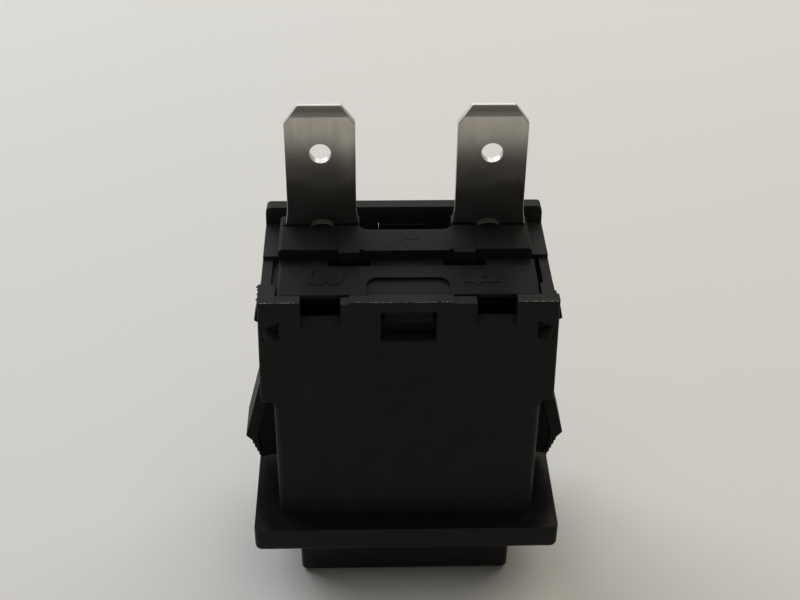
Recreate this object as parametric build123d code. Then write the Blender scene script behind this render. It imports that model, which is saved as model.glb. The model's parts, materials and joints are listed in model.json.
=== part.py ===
from build123d import *
import os

# Snap-in rectangular pushbutton switch, normally open, two flat blade terminals.
# Millimetres. +Z runs from the button towards the terminals, X along the long side, and the front is at -Y.
# The origin is at the middle of the button's face, on the surface that the switch stands on.

# ---- Driving sizes -------------------------------------------------------------------------------------------

# button
button_width = 20.95
button_depth = 13.1
button_proud = 6.6  # face beyond the bezel, released
button_wall = 1.2
button_face_wall = 2.4
button_draft = 0.8  # degrees, on the proud part
button_edge = 0.55
slide_gap = 0.15  # button and slider to the housing, each side

# travel
contact_gap = 2.2  # travel until the contacts meet
over_travel = 1.0

# housing: lower body and bezel
front_wall = 1.2
lower_side_wall = 1.55
bezel_reach_x = 2.36
bezel_reach_y = 2.35
bezel_thick = 2.95
bezel_corner = 0.5
bezel_edge = 0.85
lower_height = 13.85  # bezel's rear face to the step
stop_height = 6.75  # bezel's rear face to the slider's stop ledge
stop_ledge = 0.6
body_edge = 0.25

# housing: upper body, which holds the terminal carrier
step_out = 1.15
upper_height = 11.1
upper_draft = 0.22  # lost at each side over the upper body's height
back_wall_inset = 0.07  # back wall's end to the upper body's side
step_corner = 0.5
step_hollow = 0.4  # concave corner under the step
floor_ledge = 0.6  # step to the ledge that the carrier stands on
carrier_ledge = 0.38
back_rise = 0.65
back_corner = 0.45
side_drop = 1.2
slot_drop = 1.55
slot_width = 0.6
slot_depth = (1.9, 4.0)  # left and right
post_depth = 2.95
right_post_inset = 0.33  # behind the front wall, at the right only
rear_ledge_depth = 5.5

# housing: notches and windows
notch_width = 3.5
notch_depth = 2.75
top_step_depth = 0.18
top_step_width = (0.8, 2.0)  # left and right
window_width = 4.9
window_height = 3.1
window_drop = 1.1
corner_window_height = 2.0
corner_window_drop = 2.1
corner_window_slant = 0.75  # its top edge falls by this towards the side
corner_window_strip = 0.3  # wall left between the corner window and the side
corner_post_skin = 0.6  # wall left in front of the side window
side_window_drop = 0.9
side_window_length = 1.75

# snap-in wings
wing_width = 4.4
wing_tip_reach = 3.35  # tip beyond the lower body's side
wing_tip_height = 4.95  # tip above the bezel's rear face
wing_end_height = 2.0
wing_end_reach = 2.0
wing_thick = 1.2
wing_flat = 0.4
wing_teeth = 5
wing_tooth_cut = 0.6  # share of a tooth's height that is cut level
wing_end_edge = 0.12
wing_web = 1.2  # stiffening web inside the tongue, along Y
wing_web_gap = 0.25  # web to the lower body
wing_web_rise = 0.3  # web's foot above the tongue's end
wing_root_drop = 0.1  # root below the step

# terminal carrier and front insert
fit_gap = 0.08
insert_depth = 4.45
groove_width = 1.3
groove_drop = 0.2
insert_drop = 0.05
ridge_rise = 0.85
ridge_inset = 0.2
ridge_mid_depth = 3.5
ridge_mid_drop = 0.12
ridge_mid_half = 3.85
ridge_hollow = 0.9  # concave corners behind the middle of the ridge
carrier_back_drop = 2.6
carrier_underside = 5.7  # below the front wall's top
skirt_wall = 1.2
peg_width = 1.9
peg_reach = 0.62
peg_height = 1.2
peg_offset = 5.2
peg_corner = 0.35
rib_rise = 0.1
pocket_width = 3.8
pocket_depth = 2.4
pocket_lip = 0.05  # left behind the insert's block
nook_skin = 0.4  # plate left over the nooks behind the notches
nook_height = 3.2
nook_depth = 1.8
recess_half = 3.65
recess_depth_y = 2.65
recess_drop = 0.25
recess_corner = 1.1
catch_width = 4.3  # front
rear_catch_width = 4.84
catch_height = 1.3
catch_reach = 0.75
catch_root = 0.2  # how far a catch starts inside its piece
catch_run_in = 0.6  # height of the slope under a catch
corner_catch_reach = 0.38
corner_catch_lip = 0.12  # reach at its top
corner_catch_height = 2.5
rear_nub_width = 2.3
rear_nub_depth = 0.4
boss_radius = 1.3  # staking boss at the foot of each blade
boss_rise = 0.4
boss_thick = 0.35

# terminals
blade_width = 6.3
blade_thick = 0.8
blade_length = 12.2
blade_chamfer_x = 1.25
blade_chamfer_z = 1.75
blade_bevel = 0.2  # taken off each face at the tip
blade_bevel_height = 1.05
blade_hole_radius = 0.97
blade_hole_from_tip = 4.67
shoulder_width = 6.7
shoulder_height = 1.6
shoulder_edge = 0.5  # shoulder's side to the carrier's side
blade_front = 11.15  # front wall's outer face to the blade's front face
leg_width = 4.4
foot_reach = 2.85
rivet_setback = 1.55  # foot's end to the rivet's axis

# contacts
rivet_radius = 1.3
rivet_height = 0.7
shank_radius = 0.6
bridge_thick = 0.6
bridge_width = 4.0
bridge_waist = 3.2
bridge_margin = 1.7  # rivet's axis to the strip's end

# slider
slider_plate = 1.6
gate_half = 2.5
gate_wall = 1.2
gate_bar = 1.5
gate_gap = 0.1
clip_width = 3.0
clip_thick = 0.9
clip_length = 4.0
clip_hook = 0.45
clip_offset = 5.5

# springs
return_wire = 0.45
return_radius = 1.9
return_turns = 4
return_inset = 5.01  # slider's side to the spring's axis
seat_depth = 1.2
seat_gap = 0.3
peg_gap = 0.3
contact_peg_gap = 0.15
contact_wire = 0.3
contact_radius = 1.1
contact_turns = 3
spring_gap = 0.02
wire_sides = 4  # a plain section keeps the springs light

# working values
overcut = 1.0  # cutters run this far past the faces that they open
overlap = 0.1  # joined blocks reach this far into each other
near = 0.01  # picks edges by their place

# ---- Derived places ------------------------------------------------------------------------------------------

travel = contact_gap + over_travel

bezel_bottom = button_proud
bezel_top = bezel_bottom + bezel_thick
stop_z = bezel_top + stop_height
step_z = bezel_top + lower_height
floor_z = step_z + floor_ledge
top_z = step_z + upper_height
groove_z = top_z - groove_drop
insert_top = top_z - insert_drop
ridge_z = top_z + ridge_rise
back_z = top_z - carrier_back_drop
under_z = top_z - carrier_underside

opening_x = button_width / 2 + slide_gap
opening_y = button_depth / 2 + slide_gap
lower_x = opening_x + lower_side_wall
body_y = opening_y + front_wall
stop_x = opening_x + stop_ledge
upper_x = lower_x + step_out
upper_top_x = upper_x - upper_draft
cavity_x = stop_x + carrier_ledge
carrier_x = cavity_x - fit_gap
carrier_y = opening_y - fit_gap
bezel_x = lower_x + bezel_reach_x
bezel_y = body_y + bezel_reach_y

post_back = -body_y + post_depth
rear_ledge = opening_y - rear_ledge_depth
window_top = top_z - window_drop
corner_window_top = top_z - corner_window_drop
corner_window_bottom = corner_window_top - corner_window_height
side_window_top = top_z - side_window_drop
side_window = (-body_y + corner_post_skin, -body_y + corner_post_skin + side_window_length)

terminal_x = carrier_x - shoulder_edge - shoulder_width / 2
blade_y = -body_y + blade_front
blade_back = blade_y + blade_thick
blade_tip = ridge_z + blade_length
foot_end_y = blade_y - foot_reach
rivet_y = foot_end_y + rivet_setback
foot_z = under_z - blade_thick
fixed_contact_z = foot_z - rivet_height
moving_contact_z = fixed_contact_z - contact_gap
bridge_top = moving_contact_z - rivet_height
bridge_bottom = bridge_top - bridge_thick
plate_top = stop_z + slider_plate

insert_back_y = -carrier_y + insert_depth
ridge_front_y = insert_back_y + groove_width
insert_end_y = ridge_front_y - fit_gap
return_y = (-carrier_y + insert_end_y) / 2
return_x = stop_x - slide_gap - return_inset

gate_y = bridge_waist / 2 + gate_gap  # rivet's axis to the gate's inner faces
gate_top = bridge_top + gate_bar
inner_y = button_depth / 2 - button_wall
clip_bottom = stop_z - clip_length

sides = (-1, 1)


# ---- Helpers -------------------------------------------------------------------------------------------------


def block(x, y, z):
    """A box between the low and high limits on each axis."""
    size = [high - low for low, high in (x, y, z)]
    middle = [(high + low) / 2 for low, high in (x, y, z)]
    return Pos(*middle) * Box(*size)


def across(low, high, side):
    """The limits low to high at the right side, or mirrored at the left."""
    return (low, high) if side > 0 else (-high, -low)


def around(middle, width):
    """The limits of a width about its middle."""
    return (middle - width / 2, middle + width / 2)


def prism_y(points, y):
    """A prism along Y whose outline in XZ runs through the points."""
    outline = make_face(Polyline(*points, close=True))
    wall = extrude(Plane.XZ * outline, amount=y[1] - y[0])
    return Pos(0, y[1], 0) * wall


def prism_x(points, x):
    """A prism along X whose outline in YZ runs through the points."""
    outline = make_face(Polyline(*points, close=True))
    return Pos(x[0], 0, 0) * extrude(Plane.YZ * outline, amount=x[1] - x[0])


def rod(x, y, z, radius):
    """A round rod along Z between two heights."""
    return Pos(x, y, (z[0] + z[1]) / 2) * Cylinder(radius, z[1] - z[0])


def coil(x, y, z, radius, wire, turns):
    """A compression spring between two seats, its wire's axis a helix."""
    start = z[0] + wire / 2 + spring_gap
    height = z[1] - z[0] - wire - 2 * spring_gap
    path = Helix(pitch=height / turns, height=height, radius=radius)
    section = Plane(origin=path @ 0, z_dir=path % 0) * RegularPolygon(wire / 2, wire_sides)
    return Pos(x, y, start) * sweep(section, path=path, is_frenet=True)


# ---- Housing -------------------------------------------------------------------------------------------------


def side_at(z):
    """Half the upper body's width at a height, with its draft."""
    return upper_x - upper_draft * (z - step_z) / upper_height


def step_edges(body, x):
    """The edges of the step along Y at a distance from the middle."""
    level = [e for e in body.edges().filter_by(Axis.Y) if abs(e.center().Z - step_z) < near]
    return [e for e in level if abs(abs(e.center().X) - x) < near]


def body_shell():
    """The lower and upper body as one outline, stepped out at both sides, front and back walls flush."""
    right = [(lower_x, bezel_bottom), (lower_x, step_z), (upper_x, step_z), (upper_top_x, top_z)]
    left = [(-x, z) for x, z in reversed(right)]
    body = prism_y(right + left, (-body_y, body_y))
    body = fillet(step_edges(body, upper_x), step_corner)
    body = fillet(step_edges(body, lower_x), step_hollow)
    at_wall = [e for e in body.edges() if abs(abs(e.center().Y) - body_y) < near]
    upright = [e for e in at_wall if e.bounding_box().size.Z > lower_height / 2]
    return fillet(upright, body_edge)


def bezel():
    """The bezel flange, its outer face softened all round."""
    plan = RectangleRounded(2 * bezel_x, 2 * bezel_y, bezel_corner)
    plate = Pos(0, 0, bezel_bottom) * extrude(plan, amount=bezel_thick)
    rim = plate.faces().sort_by(Axis.Z)[0].edges()
    return fillet(rim, min(bezel_edge, 0.45 * bezel_thick))


def wing(side):
    """A snap-in tongue that splays from the step down to a serrated end, with a web inside it."""
    web_x = lower_x + wing_web_gap
    web_foot = bezel_top + wing_end_height + wing_web_rise
    shoulder_z = step_z + step_corner
    tip = (lower_x + wing_tip_reach, bezel_top + wing_tip_height)
    heel = (tip[0] - wing_flat, tip[1] - wing_flat)
    end = (lower_x + wing_end_reach, bezel_top + wing_end_height)
    tooth = (heel[1] - end[1]) / wing_teeth
    teeth = []
    for i in range(1, wing_teeth + 1):
        x = heel[0] + (end[0] - heel[0]) * i / wing_teeth
        z = heel[1] - i * tooth
        teeth += [(x, z + wing_tooth_cut * tooth), (x, z)]
    outer = [(side_at(shoulder_z), shoulder_z), (upper_x, step_z - wing_root_drop), tip, heel]
    inner = [
        (end[0] - wing_end_edge, end[1]),
        (tip[0] - wing_thick, tip[1]),
        (upper_x - wing_thick, step_z - wing_root_drop),
        (upper_x - wing_thick, shoulder_z),
    ]
    web = [
        (web_x, shoulder_z),
        (web_x, web_foot),
        (end[0], web_foot),
        (tip[0] - wing_thick / 2, tip[1]),
        (upper_x - wing_thick / 2, shoulder_z),
    ]
    tongue = prism_y([(side * x, z) for x, z in outer + teeth + inner], around(0, wing_width))
    return tongue + prism_y([(side * x, z) for x, z in web], around(0, wing_web))


def upper_top():
    """What is cut from the upper body's rim: lower side walls, slots in them and the front wall's steps."""
    above = top_z + overcut
    front = (-body_y - overcut, -opening_y + overlap)
    middle = (post_back, rear_ledge)
    cuts = []
    for side, step_width, slot_drop_to in zip(sides, top_step_width, slot_depth):
        reach = across(cavity_x, upper_x + overcut, side)
        cuts.append(block(reach, (rear_ledge, opening_y), (top_z - side_drop, above)))
        cuts.append(block(reach, middle, (top_z - slot_drop, above)))
        slot = across(cavity_x - overlap, cavity_x + slot_width, side)
        cuts.append(block(slot, middle, (top_z - slot_drop_to, above)))
        notch = across(terminal_x - notch_width / 2, terminal_x + notch_width / 2, side)
        cuts.append(block(notch, front, (top_z - notch_depth, above)))
        step = across(terminal_x - notch_width / 2 - step_width, terminal_x, side)
        cuts.append(block(step, front, (top_z - top_step_depth, above)))
    inset = (upper_top_x - right_post_inset, upper_x + overcut)
    cuts.append(block(inset, (-opening_y, post_back), (side_window_top, above)))
    return cuts


def windows():
    """The latch windows in the front and back walls, and the open windows at the front corners."""
    cuts = []
    for side in sides:
        wall = across(opening_y - overlap, body_y + overcut, side)
        cuts.append(block(around(0, window_width), wall, (window_top - window_height, window_top)))
        inner = carrier_x - overlap - fit_gap
        outer = upper_top_x - corner_window_strip
        outline = [
            (inner, corner_window_top),
            (outer, corner_window_top - corner_window_slant),
            (outer, corner_window_bottom),
            (inner, corner_window_bottom),
        ]
        outline = [(side * x, z) for x, z in outline]
        cuts.append(prism_y(outline, (-body_y - overcut, side_window[1])))
        through = across(inner, upper_x + overcut, side)
        cuts.append(block(through, side_window, (corner_window_bottom, side_window_top)))
    return cuts


def housing():
    """The body, bezel, wings and raised back wall, hollowed out in three steps."""
    back_x = upper_top_x - back_wall_inset
    rear = block((-back_x, back_x), (opening_y, body_y), (top_z - back_rise, top_z + back_rise))
    rear = fillet(rear.edges().filter_by(Axis.Y).group_by(Axis.Z)[-1], back_corner)
    shell = body_shell() + bezel()
    for side in sides:
        shell += wing(side)
    depth = (-opening_y, opening_y)
    cavity = [
        block((-opening_x, opening_x), depth, (bezel_bottom - overcut, stop_z + overlap)),
        block((-stop_x, stop_x), depth, (stop_z, floor_z + overlap)),
        block((-cavity_x, cavity_x), depth, (floor_z, top_z + overcut)),
    ]
    for cut in cavity + upper_top() + windows():
        shell -= cut
    return shell + rear


# ---- Terminals and fixed contacts ----------------------------------------------------------------------------


def tip_bevels():
    """What is cut from both faces of a blade at its tip."""
    cuts = []
    for face, inward in ((blade_y, 1), (blade_back, -1)):
        outline = [
            (face, blade_tip - blade_bevel_height),
            (face + inward * blade_bevel, blade_tip),
            (face + inward * blade_bevel, blade_tip + overcut),
            (face - inward, blade_tip + overcut),
            (face - inward, blade_tip - blade_bevel_height),
        ]
        cuts.append(prism_x(outline, (-blade_width, blade_width)))
    return cuts


def terminal(side):
    """A stamped blade with shoulders, an inner leg and a foot that holds the fixed contact."""
    right = [
        (blade_width / 2 - blade_chamfer_x, blade_tip),
        (blade_width / 2, blade_tip - blade_chamfer_z),
        (blade_width / 2, ridge_z + shoulder_height),
        (shoulder_width / 2, ridge_z),
        (leg_width / 2, ridge_z),
        (leg_width / 2, foot_z),
    ]
    left = [(-x, z) for x, z in reversed(right)]
    blade = prism_y(right + left, (blade_y, blade_back))
    for cut in tip_bevels():
        blade -= cut
    hole = Cylinder(blade_hole_radius, 4 * blade_thick)
    blade -= Pos(0, blade_y, blade_tip - blade_hole_from_tip) * Rot(90, 0, 0) * hole
    blade += block(around(0, leg_width), (foot_end_y, blade_back), (foot_z, under_z))
    blade -= rod(0, rivet_y, (foot_z - overcut, under_z + overcut), shank_radius)
    return Pos(side * terminal_x, 0, 0) * blade


def rivet(side, face_z, strip, direction):
    """A contact rivet: a head on the strip's face and a shank clenched flush through the strip."""
    head = rod(side * terminal_x, rivet_y, sorted((face_z, face_z + direction * rivet_height)), rivet_radius)
    return head + rod(side * terminal_x, rivet_y, strip, shank_radius)


# ---- Terminal carrier and front insert -----------------------------------------------------------------------


def skirts(y):
    """The two side skirts that stand on the housing's ledge."""
    outer = [across(carrier_x - skirt_wall, carrier_x, side) for side in sides]
    return [block(x, y, (floor_z, under_z + overlap)) for x in outer]


def catch(face, width):
    """A catch on the front or rear face, flat on top and sloping back to the wall at its foot."""
    side = 1 if face > 0 else -1
    high = window_top - fit_gap
    root = face - side * catch_root
    outline = [
        (root, high),
        (face + side * catch_reach, high),
        (face + side * catch_reach, high - catch_height),
        (root, high - catch_height - catch_run_in),
    ]
    return prism_x(outline, around(0, width))


def corner_catch(side):
    """A catch in the side window of the housing, widest at its middle."""
    high = side_window_top - fit_gap
    root = carrier_x - overlap
    outline = [
        (root, high),
        (upper_top_x + corner_catch_lip, high),
        (upper_top_x + corner_catch_reach, high - corner_catch_height / 2),
        (root, high - corner_catch_height),
    ]
    return prism_y([(side * x, z) for x, z in outline], (side_window[0], side_window[1] - fit_gap))


def ridge():
    """The raised ridge, a little lower and shallower between the blades, with hollow corners behind."""
    ridge_x = carrier_x - ridge_inset
    mid_back = ridge_front_y + ridge_mid_depth
    end_back = blade_back + blade_thick
    plan = Pos(0, (ridge_front_y + mid_back) / 2) * Rectangle(2 * ridge_x, ridge_mid_depth)
    end_width = ridge_x - ridge_mid_half
    for side in sides:
        middle = (side * (ridge_mid_half + end_width / 2), (ridge_front_y + end_back) / 2)
        plan += Pos(*middle) * Rectangle(end_width, end_back - ridge_front_y)
    behind = [v for v in plan.vertices() if abs(v.Y - mid_back) < near]
    corners = [v for v in behind if abs(abs(v.X) - ridge_mid_half) < near]
    plan = fillet(corners, ridge_hollow)
    raised = Pos(0, 0, back_z) * extrude(plan, amount=ridge_z - ridge_mid_drop - back_z)
    for side in sides:
        end = across(ridge_mid_half, ridge_x, side)
        raised += block(end, (ridge_front_y, end_back), (back_z, ridge_z))
    return raised


def rib_and_peg(side):
    """A rib on the ridge that turns down in front of it into a peg with rounded lower corners."""
    x = across(peg_offset - peg_width / 2, peg_offset + peg_width / 2, side)
    rib_z = ridge_z + rib_rise
    peg = block(x, (ridge_front_y - peg_reach, ridge_front_y + overlap), (rib_z - peg_height, rib_z))
    peg = fillet(peg.edges().filter_by(Axis.Y).group_by(Axis.Z)[0], peg_corner)
    return peg + block(x, (ridge_front_y, blade_y), (ridge_z - overlap, rib_z))


def terminal_base():
    """The rear moulding: a ridge in front of the blades, ribs that end in pegs, and slots for the legs."""
    body = block((-carrier_x, carrier_x), (ridge_front_y, carrier_y), (under_z, back_z)) + ridge()
    for side in sides:
        body += rib_and_peg(side)
        boss = Pos(side * terminal_x, blade_y - boss_thick / 2, ridge_z + boss_rise - boss_radius)
        disc = boss * Rot(90, 0, 0) * Cylinder(boss_radius, boss_thick)
        body += disc & block((-carrier_x, carrier_x), (ridge_front_y, blade_y), (back_z, ridge_z + boss_rise))
        slot = across(terminal_x - leg_width / 2, terminal_x + leg_width / 2, side)
        body -= block(slot, (blade_y, blade_back), (under_z - overcut, ridge_z + overcut))
    for skirt in skirts((ridge_front_y, carrier_y)):
        body += skirt
    room_x = gate_half + 2 * slide_gap
    room_back = rivet_y + gate_y + gate_wall + 2 * slide_gap
    room_top = max(under_z, gate_top + travel) + 2 * slide_gap
    body -= block((-room_x, room_x), (ridge_front_y - overcut, room_back), (under_z - overcut, room_top))
    return body + catch(carrier_y, rear_catch_width)


def front_insert():
    """The front moulding: a block with a shallow recess, a groove with pockets for the pegs, and catches."""
    front = -carrier_y
    body = block((-carrier_x, carrier_x), (front, insert_back_y), (under_z, insert_top))
    body += block((-carrier_x, carrier_x), (front, insert_end_y), (under_z, groove_z))
    nub = (insert_back_y - overlap, insert_back_y + rear_nub_depth)
    body += block(around(0, rear_nub_width), nub, (groove_z - overlap, insert_top))
    plan = RectangleRounded(2 * recess_half, 2 * recess_depth_y, recess_corner)
    body -= Pos(0, front, insert_top - recess_drop) * extrude(plan, amount=overcut)
    seat_radius = return_radius + return_wire / 2 + seat_gap
    nook_top = top_z - nook_skin
    for side in sides:
        nook = across(terminal_x - notch_width / 2, terminal_x + notch_width / 2, side)
        body -= block(nook, (front - overcut, front + nook_depth), (nook_top - nook_height, nook_top))
        pocket = across(peg_offset - pocket_width / 2, peg_offset + pocket_width / 2, side)
        pocket_y = (insert_back_y + pocket_lip, ridge_front_y + overcut)
        body -= block(pocket, pocket_y, (groove_z - pocket_depth, top_z + overcut))
        body -= rod(side * return_x, return_y, (under_z - overcut, under_z + seat_depth), seat_radius)
    for skirt in skirts((front, insert_end_y)):
        body += skirt
    body += catch(front, catch_width)
    for side in sides:
        body += corner_catch(side)
    return body


# ---- Button, slider and bridge -------------------------------------------------------------------------------


def button():
    """A hollow cap, drafted towards its face, that slides in the bezel's opening."""
    plan = RectangleRounded(button_width, button_depth, button_edge)
    stem = Pos(0, 0, button_proud) * extrude(plan, amount=stop_z - button_proud)
    face = extrude(Plane.XY.offset(button_proud) * plan, amount=-button_proud, taper=button_draft)
    rim = face.faces().sort_by(Axis.Z)[0].edges()
    cap = fillet(rim, button_edge) + stem
    inner_x = button_width / 2 - button_wall
    cap -= block((-inner_x, inner_x), (-inner_y, inner_y), (button_face_wall, stop_z + overcut))
    for side in sides:
        wall = across(inner_y - overlap, inner_y + clip_hook + slide_gap, side)
        for x in (-clip_offset, clip_offset):
            window = around(x, clip_width + 2 * slide_gap)
            cap -= block(window, wall, (clip_bottom, clip_bottom + 2 * clip_hook + slide_gap))
    return cap


def clip(x, side):
    """A snap clip under the plate, hooked outwards into the button's wall."""
    outer = side * (inner_y - fit_gap)
    hook = side * (inner_y + clip_hook)
    back = side * (inner_y - fit_gap - clip_thick)
    outline = [
        (back, stop_z),
        (back, clip_bottom),
        (outer, clip_bottom),
        (hook, clip_bottom + clip_hook),
        (hook, clip_bottom + 2 * clip_hook),
        (outer, clip_bottom + 2 * clip_hook),
        (outer, stop_z),
    ]
    return prism_x(outline, around(x, clip_width))


def slider():
    """The plate that stops on the housing's ledge, with clips into the button, a gate and two spring pegs."""
    plate_x = stop_x - slide_gap
    plate_y = opening_y - slide_gap
    body = block((-plate_x, plate_x), (-plate_y, plate_y), (stop_z, plate_top))
    for side in sides:
        for x in (-clip_offset, clip_offset):
            body += clip(x, side)
    frame_y = gate_y + gate_wall
    body += block(around(0, 2 * gate_half), (rivet_y - frame_y, rivet_y + frame_y), (plate_top, gate_top))
    gateway = (rivet_y - gate_y, rivet_y + gate_y)
    body -= block((-gate_half - overcut, gate_half + overcut), gateway, (plate_top, bridge_top))
    contact_peg = contact_radius - contact_wire / 2 - contact_peg_gap
    body += rod(0, rivet_y, (plate_top, plate_top + over_travel), contact_peg)
    return_peg = return_radius - return_wire / 2 - peg_gap
    for side in sides:
        body += rod(side * return_x, return_y, (plate_top, plate_top + slider_plate), return_peg)
    return body


def contact_bridge():
    """The moving strip, waisted where it passes through the slider's gate."""
    half = terminal_x + bridge_margin
    waist = gate_half + gate_gap
    through = (bridge_bottom - overcut, bridge_top + overcut)
    strip = block((-half, half), around(rivet_y, bridge_width), (bridge_bottom, bridge_top))
    for side in sides:
        low, high = across(bridge_waist / 2, bridge_width, side)
        strip -= block((-waist, waist), (rivet_y + low, rivet_y + high), through)
        strip -= rod(side * terminal_x, rivet_y, through, shank_radius)
    return strip


# ---- Pieces --------------------------------------------------------------------------------------------------


def pieces():
    """Every piece of the switch by the name of its file."""
    made = {
        "housing": housing(),
        "terminal_base": terminal_base(),
        "front_insert": front_insert(),
        "button": button(),
        "slider": slider(),
        "contact_bridge": contact_bridge(),
    }
    bridge_strip = (bridge_bottom, bridge_top)
    seats = (plate_top, under_z + seat_depth)
    for number, side in enumerate(sides, start=1):
        made[f"terminal_{number}"] = terminal(side)
        made[f"contact_rivet_fixed_{number}"] = rivet(side, foot_z, (foot_z, under_z), -1)
        made[f"contact_rivet_moving_{number}"] = rivet(side, bridge_top, bridge_strip, 1)
        spring = coil(side * return_x, return_y, seats, return_radius, return_wire, return_turns)
        made[f"return_spring_{number}"] = spring
    seats = (plate_top, bridge_bottom)
    made["contact_spring"] = coil(0, rivet_y, seats, contact_radius, contact_wire, contact_turns)
    return made


os.makedirs("parts", exist_ok=True)
for name, shape in pieces().items():
    shape.label = name
    export_step(shape, f"parts/{name}.step")
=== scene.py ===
"""Looks for the snap-in pushbutton switch: finishes, softened moulded edges, springs, digits and the studio.

Every moulding and blade that shows gets a softened copy that stands for it, the springs get plain copies that
stand for them, and small moulded details are added. Places on the switch are in millimetres, and the studio is
in metres. Angles are in degrees where they are written and in radians where they are used.
"""

import json
import math
import random

import bmesh
import bpy
from mathutils import Matrix, Vector


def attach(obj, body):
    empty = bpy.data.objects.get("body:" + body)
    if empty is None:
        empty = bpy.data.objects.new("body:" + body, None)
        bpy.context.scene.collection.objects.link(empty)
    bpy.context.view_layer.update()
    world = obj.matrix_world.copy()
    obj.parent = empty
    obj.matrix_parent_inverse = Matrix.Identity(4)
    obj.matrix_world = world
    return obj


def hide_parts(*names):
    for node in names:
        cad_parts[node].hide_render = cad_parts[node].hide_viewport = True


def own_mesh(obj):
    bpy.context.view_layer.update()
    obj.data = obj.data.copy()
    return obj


MM = 0.001
SIDES = (-1, 1)

# Places on the switch.
BEZEL_TOP = 9.55
STEP_Z = 23.4
LOWER_X = 12.175
UPPER_X = 13.325
WING_TIP = (15.525, 14.5)
WING_END = (14.175, 11.55)
WING_THICK = 1.2
FRONT_Y = -7.9
TOP_Z = 34.5
INSERT_TOP = 34.45
INSERT_X = 11.525
RIDGE_X = 11.325
RIDGE_Z = 35.35
RIDGE_MID_X = 3.85
RIDGE_MID_BACK = 1.45
RIDGE_MID_DROP = 0.12
BLADE_X = 7.675
BLADE_Y = 3.25
SHOULDER_X = 3.35
NOTCH_WIDTH = 3.5
NOTCH_DEPTH = 2.75

# How wide the edges of each piece are rounded, and how far round its long corners are.
HOUSING_EDGE = 0.07
INSERT_EDGE = 0.04
RIDGE_EDGE = 0.08
BLADE_EDGE = 0.06
BODY_ROUND = 0.7
END_ROUND = 0.35
ARC_STEPS = 6

# Which edges are rounded: corners closer than SAME_POINT are one, and ROOM is how many times the rounding's
# width an edge has to be long and the faces beside it wide.
SAME_POINT = 0.002
FLAT = math.radians(1)
SHARP = math.radians(28)
ALONGSIDE = math.radians(25)
STAYS_HARD = math.radians(50)
ROOM = 5

# The carrier sits a little to the left of the housing, so its left ends reach further out.
INSERT_REACH = 0.15
RIDGE_REACH = 0.27
END_LENGTH = 0.65
END_DEPTH = 0.6

# The moulded digits: what each says, its name, its middle, its length and width, and how far it stands up.
DIGITS = (
    ("3", "digit_3", (-7.35, -3.97, INSERT_TOP), 3.35, 2.2, 0.11),
    ("4", "digit_4", (6.55, -4.15, INSERT_TOP), 3.15, 1.9, 0.11),
    ("1", "digit_1", (-7.45, 1.55, RIDGE_Z), 2.0, 1.1, 0.05),
    ("2", "digit_2", (6.75, 1.6, RIDGE_Z), 2.1, 1.8, 0.06),
    ("2", "digit_mid", (0.3, 1.5, RIDGE_Z - RIDGE_MID_DROP), 1.8, 1.5, 0.04),
)

# The moulding flash: its name, where it starts and ends, which way and how far it rises, and its random seed.
FLASH_Y = FRONT_Y + 0.04
FLASH = (
    ("flash_front_left", (-12.9, FLASH_Y, TOP_Z), (-9.5, FLASH_Y, TOP_Z), (0, 0, 0.12), 3),
    ("flash_front_mid", (-5.0, FLASH_Y, TOP_Z), (4.0, FLASH_Y, TOP_Z), (0, 0, 0.1), 5),
    ("flash_front_right", (9.5, FLASH_Y, TOP_Z), (12.9, FLASH_Y, TOP_Z), (0, 0, 0.05), 8),
    ("flash_side_left", (-13.08, -7.7, TOP_Z), (-13.08, -4.9, TOP_Z), (-0.2, 0, 0.12), 11),
)
FLASH_STEP = 0.13
FLASH_THICK = 0.04

# The lamps: name, place, what each points at, size, power in watts and colour.
SWITCH = (0, 0, 0.02)
LAMPS = (
    ("window_left", (-0.45, 0.5, 0.55), SWITCH, (0.7, 0.6), 4.4, (0.93, 0.965, 1.0)),
    ("room_right", (0.4, 0.55, 0.55), SWITCH, (0.7, 0.6), 2.7, (1.0, 0.91, 0.73)),
    ("low_left", (-0.62, 1.0, 0.3), SWITCH, (0.5, 0.3), 1.25, (0.95, 0.975, 1.0)),
    ("low_window", (0.0, 0.9, 0.5), SWITCH, (0.7, 0.4), 1.6, (0.97, 0.985, 1.0)),
    ("overhead", (0.0, -0.14, 0.9), (0, 0, 0.0), (0.9, 0.7), 2.0, (1.0, 0.975, 0.91)),
    ("front_fill", (0.0, -0.5, 0.12), SWITCH, (0.6, 0.2), 0.13, (1.0, 0.97, 0.92)),
)
ROOM_COLOUR = (1.0, 0.94, 0.83)
ROOM_STRENGTH = 0.105

# The floor, and black cards of painted shadow on the floor in front of the switch, which only reflections see:
# name, middle and size.
FLOOR_SIZE = (4.0, 4.0)
SHADOW_CARDS = (
    ("card_low", (0, -0.0488, 0.0005), (0.16, 0.0515)),
    ("card_far", (0, -0.285, 0.0005), (0.8, 0.3)),
)

# The camera's lens and near limit, its place in millimetres, and how it is turned, looks down and rolls.
CAMERA_LENS = 60.42
CAMERA_NEAR = 0.005
CAMERA_PLACE = (-3.84, -101.462, 102.038)
CAMERA_TURN = -1.865
CAMERA_DOWN = 35.69
CAMERA_ROLL = 0.6

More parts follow.
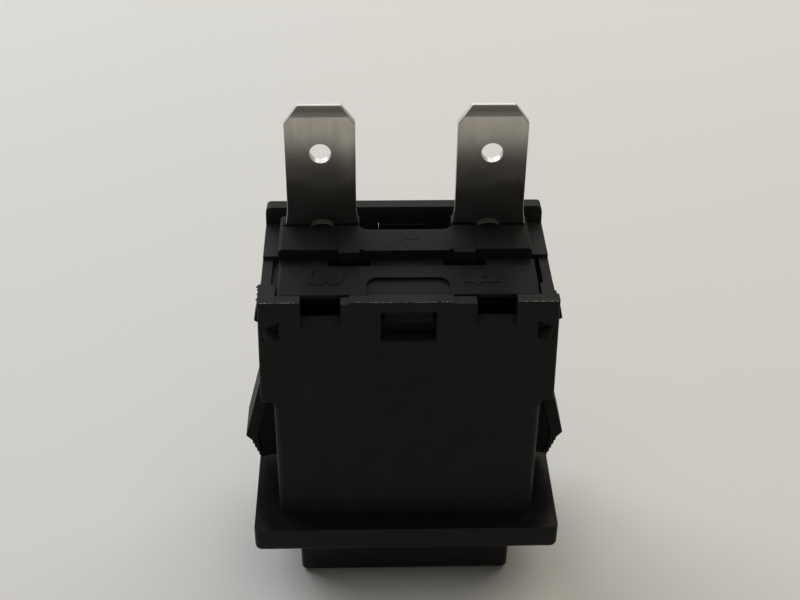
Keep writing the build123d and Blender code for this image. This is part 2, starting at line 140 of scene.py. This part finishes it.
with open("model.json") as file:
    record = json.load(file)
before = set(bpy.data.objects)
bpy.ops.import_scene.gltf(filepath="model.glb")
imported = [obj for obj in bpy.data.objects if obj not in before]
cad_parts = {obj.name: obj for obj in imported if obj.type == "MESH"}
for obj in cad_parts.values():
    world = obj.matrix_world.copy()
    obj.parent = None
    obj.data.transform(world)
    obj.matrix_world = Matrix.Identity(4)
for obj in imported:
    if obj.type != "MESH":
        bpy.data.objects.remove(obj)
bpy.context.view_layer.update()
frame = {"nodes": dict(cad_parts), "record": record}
nodes = frame["nodes"]
slots = {part["node"]: part["material_slot"] for part in frame["record"]["subparts"]}
bodies = {node: body for body, names in frame["record"]["behaviour"]["bodies"].items() for node in names}


# ---- Materials -----------------------------------------------------------------------------------------------

BLACK = (0, 0, 0)
WHITE = (1, 1, 1)
DUST_MASK = (0.5, 0.5, 0.5)
DUST_COLOUR = (0.16, 0.155, 0.14)

# A mix node has sockets for each kind of value. These are the two inputs and the output for colours and numbers.
MIX_COLOURS = (6, 7, 2)
MIX_NUMBERS = (2, 3, 0)

# How far the streaks of a metal are drawn out along each axis.
ALONG_X = (0.06, 1.0, 1.0)
ALONG_Z = (1.0, 1.0, 0.06)
EVEN = (1.0, 1.0, 1.0)


def join(source, socket):
    socket.id_data.links.new(source, socket)


def new_material(name):
    """A node material with its shader, and a function that adds nodes to it."""
    material = bpy.data.materials.new(name)
    material.use_nodes = True
    tree = material.node_tree

    def add(kind, links=(), **values):
        node = tree.nodes.new(kind)
        for key, value in values.items():
            if key in node.inputs:
                node.inputs[key].default_value = value
            else:
                setattr(node, key, value)
        for socket, source in links:
            join(source, node.inputs[socket])
        return node

    return material, tree.nodes["Principled BSDF"], add


def ramp(add, source, *ends):
    """Turns a number into a colour between two ends, each with its place and its colour."""
    node = add("ShaderNodeValToRGB", [("Fac", source)])
    for element, (place, colour) in zip(node.color_ramp.elements, ends):
        element.position = place
        element.color = (*colour, 1)
    return node.outputs["Color"]


def spread(add, source, low, high):
    """Spreads a number between two levels."""
    return add("ShaderNodeMapRange", [("Value", source)], **{"To Min": low, "To Max": high}).outputs["Result"]


def relief(add, shader, height, strength, depth):
    bump = add("ShaderNodeBump", [("Height", height)], Strength=strength, Distance=depth)
    join(bump.outputs["Normal"], shader.inputs["Normal"])


def moulded_plastic(name, dark, light, roughness, gloss, grain, strength):
    """Moulded plastic with a fine spark-eroded grain, flow mottling and a little pale dust."""
    material, shader, add = new_material(name)
    place = add("ShaderNodeTexCoord").outputs["Object"]
    mottle = add("ShaderNodeTexNoise", [("Vector", place)], Scale=420.0, Detail=5.0, Roughness=0.6)
    shade = ramp(add, mottle.outputs["Fac"], (0.3, dark), (0.75, light))
    specks = add("ShaderNodeTexVoronoi", [("Vector", place)], Scale=1500.0)
    dust = ramp(add, specks.outputs["Distance"], (0.05, DUST_MASK), (0.11, BLACK))
    patch = add("ShaderNodeTexNoise", [("Vector", place)], Scale=1100.0, Detail=2.0)
    sparse = ramp(add, patch.outputs["Fac"], (0.66, BLACK), (0.7, WHITE))
    mask = add("ShaderNodeMath", [(0, dust), (1, sparse)], operation="MULTIPLY")
    clean, dusty, mixed = MIX_COLOURS
    colour = add("ShaderNodeMix", [("Factor", mask.outputs[0]), (clean, shade)], data_type="RGBA")
    colour.inputs[dusty].default_value = (*DUST_COLOUR, 1)
    join(colour.outputs[mixed], shader.inputs["Base Color"])
    wear = spread(add, mottle.outputs["Fac"], roughness - 0.08, roughness + 0.1)
    join(wear, shader.inputs["Roughness"])
    shader.inputs["Specular IOR Level"].default_value = gloss
    texture = add("ShaderNodeTexNoise", [("Vector", place)], Scale=grain, Detail=2.0)
    relief(add, shader, texture.outputs["Fac"], strength, 0.00003)
    return material


def metal(name, colour, roughness, stretch, strength):
    """Rolled or drawn metal: streaks along its length, cloudy tarnish and shallow scratches."""
    material, shader, add = new_material(name)
    place = add("ShaderNodeTexCoord").outputs["Object"]
    drawn = add("ShaderNodeMapping", [("Vector", place)], Scale=stretch)
    streaks = add("ShaderNodeTexNoise", [("Vector", drawn.outputs["Vector"])], Scale=1500.0, Detail=4.0)
    clouds = add("ShaderNodeTexNoise", [("Vector", place)], Scale=260.0, Detail=5.0, Roughness=0.65)
    first, second, mixed = MIX_NUMBERS
    both = [(first, clouds.outputs["Fac"]), (second, streaks.outputs["Fac"])]
    blend = add("ShaderNodeMix", both, Factor=0.4).outputs[mixed]
    shade = ramp(add, blend, (0.3, [0.8 * c for c in colour]), (0.7, colour))
    join(shade, shader.inputs["Base Color"])
    dull = spread(add, blend, roughness + 0.05, roughness - 0.05)
    join(dull, shader.inputs["Roughness"])
    shader.inputs["Metallic"].default_value = 0.985
    relief(add, shader, streaks.outputs["Fac"], strength, 0.00001)
    return material


def pale_paper():
    material, shader, add = new_material("pale_paper")
    place = add("ShaderNodeTexCoord").outputs["Object"]
    cloud = add("ShaderNodeTexNoise", [("Vector", place)], Scale=9.0, Detail=3.0)
    shade = ramp(add, cloud.outputs["Fac"], (0, (0.676, 0.671, 0.66)), (1, (0.7, 0.695, 0.684)))
    join(shade, shader.inputs["Base Color"])
    shader.inputs["Roughness"].default_value = 0.7
    shader.inputs["Specular IOR Level"].default_value = 0.2
    return material


def matt_black(name):
    material, shader, _ = new_material(name)
    shader.inputs["Base Color"].default_value = (0.01, 0.01, 0.01, 1)
    shader.inputs["Specular IOR Level"].default_value = 0.0
    shader.inputs["Roughness"].default_value = 1.0
    return material


# The main finish of each slot.
FINISHES = {
    "housing_black": moulded_plastic(
        "housing_black", (0.0172, 0.0172, 0.0178), (0.0222, 0.022, 0.0224), 0.52, 0.07, 7000.0, 0.35
    ),
    "carrier_black": moulded_plastic(
        "carrier_black", (0.0115, 0.0115, 0.012), (0.0165, 0.0163, 0.0166), 0.5, 0.045, 6000.0, 0.3
    ),
    "button_black": moulded_plastic(
        "button_black", (0.013, 0.013, 0.0136), (0.018, 0.0178, 0.0182), 0.4, 0.14, 9000.0, 0.2
    ),
    "slider_white": moulded_plastic(
        "slider_white", (0.6, 0.59, 0.55), (0.66, 0.65, 0.61), 0.45, 0.5, 4000.0, 0.2
    ),
    "tinned_brass": metal("tinned_brass", (0.6, 0.565, 0.51), 0.13, ALONG_Z, 0.2),
    "copper_strip": metal("copper_strip", (0.72, 0.45, 0.3), 0.35, ALONG_X, 0.2),
    "contact_silver": metal("contact_silver", (0.8, 0.79, 0.76), 0.3, EVEN, 0.2),
    "spring_steel": metal("spring_steel", (0.5, 0.5, 0.51), 0.3, EVEN, 0.1),
}

# The finish of sheared and ragged edges, and of the sides of what stands up.
EDGES = {
    "housing_black": moulded_plastic(
        "housing_edges", (0.016, 0.016, 0.0165), (0.022, 0.0218, 0.022), 0.18, 0.85, 7000.0, 0.2
    ),
    "carrier_black": moulded_plastic(
        "carrier_edges", (0.014, 0.014, 0.0145), (0.02, 0.0198, 0.02), 0.2, 0.85, 6000.0, 0.2
    ),
    "tinned_brass": metal("sheared_brass", (0.6, 0.585, 0.55), 0.42, EVEN, 0.3),
}

# The finish of the few faces that differ, each painted darker as shade: the bezel's top, which is also smoother,
# and a blade's coined tip, which is also rougher.
SHADED_ACCENTS = {
    # Painted shade: the bezel's top is smoother than the rest, and its darker colour stands for the shade of the
    # body and wings above it.
    "housing_black": moulded_plastic(
        "polished_bezel_painted_shade", (0.0075, 0.0075, 0.008), (0.0105, 0.0103, 0.0106), 0.2, 0.07, 9000.0, 0.1
    ),
    # Painted shade: a blade's coined tip is rougher, and its darker colour stands for the dark room in front
    # that its tilted faces reflect.
    "tinned_brass": metal("coined_brass_painted_shade", (0.44, 0.415, 0.375), 0.3, EVEN, 0.3),
}

# Where a face finds each of the three on its piece.
MAIN, EDGE, SHADED_ACCENT = 0, 1, 2


def own(piece, slot, body):
    """Gives a piece its finishes, the main one on every face, and the body it moves with."""
    piece.data.materials.clear()
    for looks in (FINISHES, EDGES, SHADED_ACCENTS):
        piece.data.materials.append(looks.get(slot, FINISHES[slot]))
    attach(piece, body)


# ---- Shaping -------------------------------------------------------------------------------------------------


def deselect():
    bpy.ops.object.select_all(action="DESELECT")


def linked(name, data):
    """A new object in the scene."""
    item = bpy.data.objects.new(name, data)
    bpy.context.scene.collection.objects.link(item)
    return item


def choose(piece):
    """Makes one piece the only one that operators act on."""
    deselect()
    bpy.context.view_layer.objects.active = piece
    piece.select_set(True)


def apply_modifiers(piece):
    choose(piece)
    for modifier in list(piece.modifiers):
        bpy.ops.object.modifier_apply(modifier=modifier.name)


def settled(name):
    """Names the primitive that was just added, and puts its place and size in its mesh."""
    bpy.ops.object.transform_apply(location=True, rotation=True, scale=True)
    piece = bpy.context.object
    piece.name = name
    piece.data.name = name
    return piece


def block(name, corner, opposite):
    """A block between two opposite corners, as a start."""
    corner, opposite = Vector(corner), Vector(opposite)
    size = [abs(part) for part in opposite - corner]
    deselect()
    bpy.ops.mesh.primitive_cube_add(size=MM, location=(corner + opposite) / 2 * MM, scale=size)
    return settled(name)


def open_piece(piece):
    choose(piece)
    bpy.ops.object.mode_set(mode="EDIT")


def close_piece():
    bpy.ops.object.mode_set(mode="OBJECT")


def pick(piece, kind, rule):
    """Selects those verts, edges or faces of an open piece that a rule picks, and nothing else."""
    bpy.context.tool_settings.mesh_select_mode = [kind == each for each in ("verts", "edges", "faces")]
    bpy.ops.mesh.select_all(action="DESELECT")
    shape = bmesh.from_edit_mesh(piece.data)
    for item in [item for item in getattr(shape, kind) if rule(item)]:
        item.select_set(True)
    shape.select_flush_mode()
    bmesh.update_edit_mesh(piece.data)


def mark_sharp(piece, rule):
    """Marks those edges of an open piece that a rule picks as corners in its shading."""
    shape = bmesh.from_edit_mesh(piece.data)
    for edge in shape.edges:
        if rule(edge):
            edge.smooth = False
    bmesh.update_edit_mesh(piece.data)


def cut_away(piece, cutter):
    cut = piece.modifiers.new("cut", "BOOLEAN")
    cut.operation = "DIFFERENCE"
    cut.solver = "EXACT"
    cut.object = cutter
    apply_modifiers(piece)
    bpy.data.objects.remove(cutter)


def drawn_out(outline, axis, low, high):
    """A cutter of one outline, drawn out along an axis between two levels."""
    shape = bmesh.new()
    rings = []
    for level in (low, high):
        corners = [(*point[:axis], level, *point[axis:]) for point in outline]
        rings.append([shape.verts.new(Vector(corner) * MM) for corner in corners])
    count = len(outline)
    shape.faces.new(rings[0])
    shape.faces.new(list(reversed(rings[1])))
    for i in range(count):
        k = (i + 1) % count
        shape.faces.new((rings[0][i], rings[1][i], rings[1][k], rings[0][k]))
    bmesh.ops.recalc_face_normals(shape, faces=shape.faces)
    mesh = bpy.data.meshes.new("cutter")
    shape.to_mesh(mesh)
    shape.free()
    return linked("cutter", mesh)


def quarter_round(corner, radius, side, axis, low, high):
    """What is cut away to round a long corner, given as two levels and the way out from each of them."""
    (x, x_out), (t, t_out) = corner
    arc = [(x + x_out, t - radius * t_out), (x + x_out, t + t_out), (x - radius * x_out, t + t_out)]
    for i in range(ARC_STEPS + 1):
        turn = math.radians(90 / ARC_STEPS * i)
        across = x - radius * x_out * (1 - math.sin(turn))
        arc.append((across, t - radius * t_out * (1 - math.cos(turn))))
    return drawn_out([(side * a, b) for a, b in arc], axis, low, high)


def end_round(x, z, side):
    """Rounds the uppermost edge at one end of a piece."""
    return quarter_round(((x, 1), (z, 1)), END_ROUND, side, 1, -9, 5)


def body_round(side):
    """Rounds a front corner of the lower body, from the bezel almost to the step."""
    corner = ((LOWER_X, 1), (FRONT_Y, -1))
    return quarter_round(corner, BODY_ROUND, side, 2, BEZEL_TOP + 0.01, STEP_Z - 0.5)


def foot_gap(side):
    """The dark gap between the ridge and a blade's foot."""
    inner, outer = side * (RIDGE_MID_X - 0.3), side * (BLADE_X + SHOULDER_X)
    return block("cutter", (inner, BLADE_Y - 0.16, RIDGE_Z - 0.4), (outer, BLADE_Y + 0.1, RIDGE_Z + 0.6))


# ---- Pieces that stand for solids ----------------------------------------------------------------------------


def sharp_edges(piece, width):
    """The numbers of an open piece's edges to round.

    They leave out the tiny ones, and a short one that runs almost along a longer one.
    """
    shape = bmesh.from_edit_mesh(piece.data)
    shape.edges.index_update()
    sharp = {e for e in shape.edges if e.is_manifold and e.calc_face_angle(0) > SHARP}
    sharp = {e for e in sharp if e.calc_length() > ROOM * width}
    for vert in shape.verts:
        here = sorted((e for e in vert.link_edges if e in sharp), key=lambda e: e.calc_length())
        ways = [(e.other_vert(vert).co - vert.co).normalized() for e in here]
        for i, way in enumerate(ways):
            if any(way.dot(other) > math.cos(ALONGSIDE) for other in ways[i + 1 :]):
                sharp.discard(here[i])
    return {e.index for e in sharp}


def is_roomy(edge, width):
    """Whether both faces beside an edge are wide enough to round it."""
    return all(face.calc_area() / edge.calc_length() > ROOM * width for face in edge.link_faces)


def softened(name, width, cutters=()):
    """A node's shape with every sharp edge rounded, which stands for the node."""
    piece = linked(name + "_moulded", nodes[name].data.copy())
    for cutter in cutters:
        cut_away(piece, cutter)
    open_piece(piece)
    bpy.ops.mesh.select_all(action="SELECT")
    bpy.ops.mesh.remove_doubles(threshold=SAME_POINT * MM)
    bpy.ops.mesh.dissolve_limited(angle_limit=FLAT, use_dissolve_boundaries=False, delimit=set())
    if slots[name] == "tinned_brass":
        mark_sharp(piece, lambda e: abs((e.verts[0].co - e.verts[1].co).normalized().x) > 0.99)
    edges = sharp_edges(piece, width * MM)
    pick(piece, "edges", lambda e: e.index in edges and is_roomy(e, width * MM))
    bpy.ops.mesh.bevel(offset=width * MM, segments=2, affect="EDGES", loop_slide=False)
    mark_sharp(piece, lambda e: e.is_manifold and e.calc_face_angle(0) > STAYS_HARD)
    close_piece()
    for face in piece.data.polygons:
        face.use_smooth = True
    shading = piece.modifiers.new("shading", "WEIGHTED_NORMAL")
    shading.weight = 100
    shading.keep_sharp = True
    apply_modifiers(piece)
    own(piece, slots[name], bodies[name])
    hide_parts(name)
    return piece


def polish_and_shade_bezel(piece):
    """The bezel's top is smoother and painted darker as shade from the body and wings above it, and its sides
    are like the rest of the housing.
    """
    verts = piece.data.vertices
    for face in piece.data.polygons:
        if max(verts[i].co.z for i in face.vertices) < (BEZEL_TOP + 0.06) * MM and face.normal.z > 0.3:
            face.material_index = SHADED_ACCENT


def finish_sheet(piece):
    """The sheared edges of a blade, and its coined tip, which is rougher and painted darker as shade."""
    for face in piece.data.polygons:
        if abs(face.normal.y) < 0.9:
            face.material_index = EDGE
        elif abs(face.normal.z) > 0.1:
            face.material_index = SHADED_ACCENT


def reach_left(piece, reach):
    """Draws the upper left end of a piece further out."""
    end = min(vert.co.x for vert in piece.data.vertices)
    for vert in piece.data.vertices:
        if vert.co.x < end + END_LENGTH * MM and vert.co.z > (TOP_Z - END_DEPTH) * MM:
            vert.co.x -= reach * MM


def widen_opening(piece):
    """The hollow corners behind the middle of the ridge reach out to the blades."""
    reach_left(piece, RIDGE_REACH)
    for vert in piece.data.vertices:
        x, y, z = (c / MM for c in vert.co)
        if y > RIDGE_MID_BACK and 2.5 < abs(x) < 4.2 and z > TOP_Z - 3:
            reach = min((y - RIDGE_MID_BACK) / 0.9, 1) * 0.38
            vert.co.x += math.copysign(reach, x) * MM


def shortening_spring(name):
    """A plain copy of a coil spring, with its own mesh and finishes, that stands for it."""
    coil = linked(name + "_coil", nodes[name].data.copy())
    own(coil, slots[name], bodies[name])
    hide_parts(name)
    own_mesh(coil)


def finish_nodes():
    """Gives every solid its main finish."""
    for name, node in nodes.items():
        node.data.materials.clear()
        node.data.materials.append(FINISHES[slots[name]])


# ---- Added details -------------------------------------------------------------------------------------------


def digit(text, name, place, length, width, rise):
    """A raised moulded digit that lies on a top face with its head to the right."""
    deselect()
    bpy.ops.object.text_add(location=(0, 0, 0))
    mark = bpy.context.object
    mark.data.body = text
    mark.data.extrude = 0.3
    mark.data.bevel_depth = 0.025
    mark.data.offset = -0.015
    bpy.ops.object.convert(target="MESH")
    piece = bpy.context.object
    piece.name = name
    piece.data.transform(Matrix.Rotation(math.radians(-90), 4, "Z"))
    low, high = (Vector(f(v.co[i] for v in piece.data.vertices) for i in range(3)) for f in (min, max))
    size = high - low
    fit = Matrix.Diagonal((length / size.x, width / size.y, 2 * rise / size.z, 1))
    piece.data.transform(fit @ Matrix.Translation(-(low + high) / 2))
    piece.data.transform(Matrix.Diagonal((MM, MM, MM, 1)) @ Matrix.Translation(Vector(place)))
    own(piece, "carrier_black", "case")
    for face in piece.data.polygons:
        face.material_index = MAIN if abs(face.normal.z) > 0.9 else EDGE


def mirrored(piece, name):
    """The same piece on the right, with its own mesh, which mirroring turns inside out until it is put right."""
    other = linked(name, piece.data.copy())
    other.data.name = name
    other.data.transform(Matrix.Diagonal((-1, 1, 1, 1)))
    open_piece(other)
    bpy.ops.mesh.select_all(action="SELECT")
    bpy.ops.mesh.normals_make_consistent(inside=False)
    close_piece()
    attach(other, "case")


def staking_boss():
    """The rounded boss of plastic at the foot of the left blade."""
    radius, depth, rise = 1.5, 0.32, 0.45
    place = Vector((-BLADE_X, BLADE_Y - 0.17, RIDGE_Z + rise - radius)) * MM
    deselect()
    bpy.ops.mesh.primitive_cylinder_add(
        vertices=64, radius=radius * MM, depth=depth * MM, location=place, rotation=(math.radians(90), 0, 0)
    )
    boss = settled("boss_left")
    rim = boss.modifiers.new("rim", "BEVEL")
    rim.width = 0.04 * MM
    rim.segments = 2
    apply_modifiers(boss)
    own(boss, "carrier_black", "case")
    for face in boss.data.polygons:
        is_round = len(face.vertices) < 5
        face.use_smooth = is_round
        face.material_index = EDGE if is_round else MAIN
    return boss


def wing_web():
    """The hollowed web between the left wing and the lower body."""
    foot_x = LOWER_X + 0.2
    half_width, hollow, cuts = 2.05, 0.45, 7
    # Where the web meets the back of the wing, from the top down.
    (top_z, top_x), (tip_z, tip_x), (end_z, end_x) = (
        (STEP_Z + 0.3, UPPER_X - 0.5 * WING_THICK),
        (WING_TIP[1], WING_TIP[0] - 0.7 * WING_THICK),
        (WING_END[1] + 0.1, WING_END[0] - 0.1),
    )
    middle_x = (foot_x + top_x) / 2 * MM
    web = block("wing_web_left", (-foot_x, -half_width, tip_z), (-top_x, half_width, top_z))
    open_piece(web)
    pick(web, "verts", lambda v: v.co.z < (top_z - 1) * MM and -v.co.x > middle_x)
    bpy.ops.transform.translate(value=((top_x - tip_x) * MM, 0, 0))
    pick(web, "faces", lambda f: f.normal.z < -0.9)
    bpy.ops.mesh.extrude_region_move(TRANSFORM_OT_translate={"value": (0, 0, (end_z - tip_z) * MM)})
    pick(web, "verts", lambda v: v.co.z < (tip_z - 1) * MM and -v.co.x > middle_x)
    bpy.ops.transform.translate(value=((tip_x - end_x) * MM, 0, 0))
    pick(web, "verts", lambda v: -v.co.x < middle_x)
    bpy.ops.transform.resize(value=(1, 1 - hollow / half_width, 1), center_override=(0, 0, 0))
    pick(web, "edges", lambda e: len({-v.co.x < middle_x for v in e.verts}) == 2)
    bpy.ops.mesh.subdivide(number_cuts=cuts)
    close_piece()
    for face in web.data.polygons:
        face.use_smooth = abs(face.normal.y) > 0.3
    own(web, "housing_black", "case")
    return web


def notch_ramp():
    """The sloping floor of the left notch in the front wall."""
    left = -BLADE_X - NOTCH_WIDTH / 2
    front, back = FRONT_Y + 0.01, FRONT_Y + 1.18
    floor_z = TOP_Z - NOTCH_DEPTH
    slope = block("notch_ramp_left", (left, front, floor_z - 0.1), (left + NOTCH_WIDTH, back, floor_z + 0.15))
    open_piece(slope)
    pick(slope, "verts", lambda v: v.co.y > (back - 0.1) * MM and v.co.z > floor_z * MM)
    bpy.ops.transform.translate(value=(0, 0, 0.45 * MM))
    close_piece()
    own(slope, "housing_black", "case")
    return slope


def window_lip():
    """Flash round the rear catch, which leaves a small gap at its upper left corner."""
    left, left_edge, right_edge, right = -2.6, -2.36, 2.36, 2.6
    high, low, foot = TOP_Z - 1.0, TOP_Z - 1.3, TOP_Z - 2.6
    gap_x, gap_z = -2.2, low - 0.95
    front, back = 7.0, 7.75
    lip = block("window_lip", (gap_x, front, low), (right, back, high))
    open_piece(lip)
    bpy.ops.mesh.select_all(action="SELECT")
    bpy.ops.mesh.bisect(plane_co=(right_edge * MM, 0, 0), plane_no=(1, 0, 0))
    pick(lip, "faces", lambda f: f.normal.z < -0.9 and f.calc_center_median().x > right_edge * MM)
    bpy.ops.mesh.extrude_region_move(TRANSFORM_OT_translate={"value": (0, 0, (foot - low) * MM)})
    bpy.ops.mesh.select_all(action="SELECT")
    bpy.ops.mesh.dissolve_limited(angle_limit=FLAT)
    close_piece()
    own(lip, "housing_black", "case")
    beside = block("window_lip_side", (left, front, foot), (left_edge, back, gap_z))
    own(beside, "housing_black", "case")


def flash(name, start, end, rise, seed):
    """Ragged moulding flash that stands along an edge."""
    chance = random.Random(seed)
    start, end, rise = (Vector(v) for v in (start, end, rise))
    count = max(4, round((end - start).length / FLASH_STEP))
    deselect()
    bpy.ops.mesh.primitive_grid_add(x_subdivisions=count, y_subdivisions=1, size=MM)
    piece = settled(name)
    lower, upper = piece.data.vertices[: count + 1], piece.data.vertices[count + 1 :]
    for i in range(count + 1):
        root = start.lerp(end, i / count)
        height = chance.random() ** 2.5 if 0 < i < count else 0.0
        lower[i].co = (root - rise) * MM
        upper[i].co = (root + rise * height) * MM
    sheet = piece.modifiers.new("sheet", "SOLIDIFY")
    sheet.thickness = FLASH_THICK * MM
    sheet.offset = 0
    apply_modifiers(piece)
    own(piece, "housing_black", "case")
    for face in piece.data.polygons:
        face.material_index = EDGE


# ---- Studio --------------------------------------------------------------------------------------------------


def level_sheet(name, place, size, material):
    deselect()
    bpy.ops.mesh.primitive_plane_add(size=1.0, location=place)
    bpy.context.object.scale = (*size, 1)
    sheet = settled(name)
    sheet.data.materials.append(material)
    return sheet


def floor():
    ground = level_sheet("floor", (0, 0, 0), FLOOR_SIZE, pale_paper())


def painted_shadow_card(name, place, size):
    """A black card of painted shadow on the floor, seen only in reflections."""
    card = level_sheet(name, place, size, matt_black(name))
    card.visible_camera = False
    card.visible_diffuse = False
    card.visible_shadow = False
    card.visible_transmission = False


def area_lamp(name, place, target, size, power, colour):
    data = bpy.data.lights.new(name, "AREA")
    data.shape = "RECTANGLE"
    data.size, data.size_y = size
    data.energy = power
    data.color = colour
    lamp = linked(name, data)
    lamp.location = place
    lamp.rotation_euler = (Vector(target) - Vector(place)).to_track_quat("-Z", "Y").to_euler()


def room_light():
    world = bpy.data.worlds.new("room")
    bpy.context.scene.world = world
    world.use_nodes = True
    sky = world.node_tree.nodes["Background"]
    sky.inputs["Color"].default_value = (*ROOM_COLOUR, 1)
    sky.inputs["Strength"].default_value = ROOM_STRENGTH


def camera():
    data = bpy.data.cameras.new("camera")
    data.lens = CAMERA_LENS
    data.clip_start = CAMERA_NEAR
    view = linked("camera", data)
    turn = Matrix.Rotation(math.radians(CAMERA_TURN), 4, "Z")
    tilt = Matrix.Rotation(math.radians(90 - CAMERA_DOWN), 4, "X")
    roll = Matrix.Rotation(math.radians(CAMERA_ROLL), 4, "Z")
    view.matrix_world = Matrix.Translation(Vector(CAMERA_PLACE) * MM) @ turn @ tilt @ roll
    bpy.context.scene.camera = view


# ---- The scene -----------------------------------------------------------------------------------------------

finish_nodes()
polish_and_shade_bezel(softened("housing", HOUSING_EDGE, [body_round(side) for side in SIDES]))
insert_ends = [end_round(INSERT_X, INSERT_TOP, side) for side in SIDES]
reach_left(softened("front_insert", INSERT_EDGE, insert_ends), INSERT_REACH)
ridge_ends = [end_round(RIDGE_X, RIDGE_Z, side) for side in SIDES]
widen_opening(softened("terminal_base", RIDGE_EDGE, ridge_ends + [foot_gap(side) for side in SIDES]))
for blade in ("terminal_1", "terminal_2"):
    finish_sheet(softened(blade, BLADE_EDGE))
for spring in ("return_spring_1", "return_spring_2"):
    shortening_spring(spring)
shortening_spring("contact_spring")
for row in DIGITS:
    digit(*row)
boss, web, slope = staking_boss(), wing_web(), notch_ramp()
mirrored(boss, "boss_right")
mirrored(web, "wing_web_right")
mirrored(slope, "notch_ramp_right")
window_lip()
for row in FLASH:
    flash(*row)

floor()
for row in SHADOW_CARDS:
    painted_shadow_card(*row)
for row in LAMPS:
    area_lamp(*row)
room_light()
camera()
bpy.context.scene.view_settings.view_transform = "Standard"
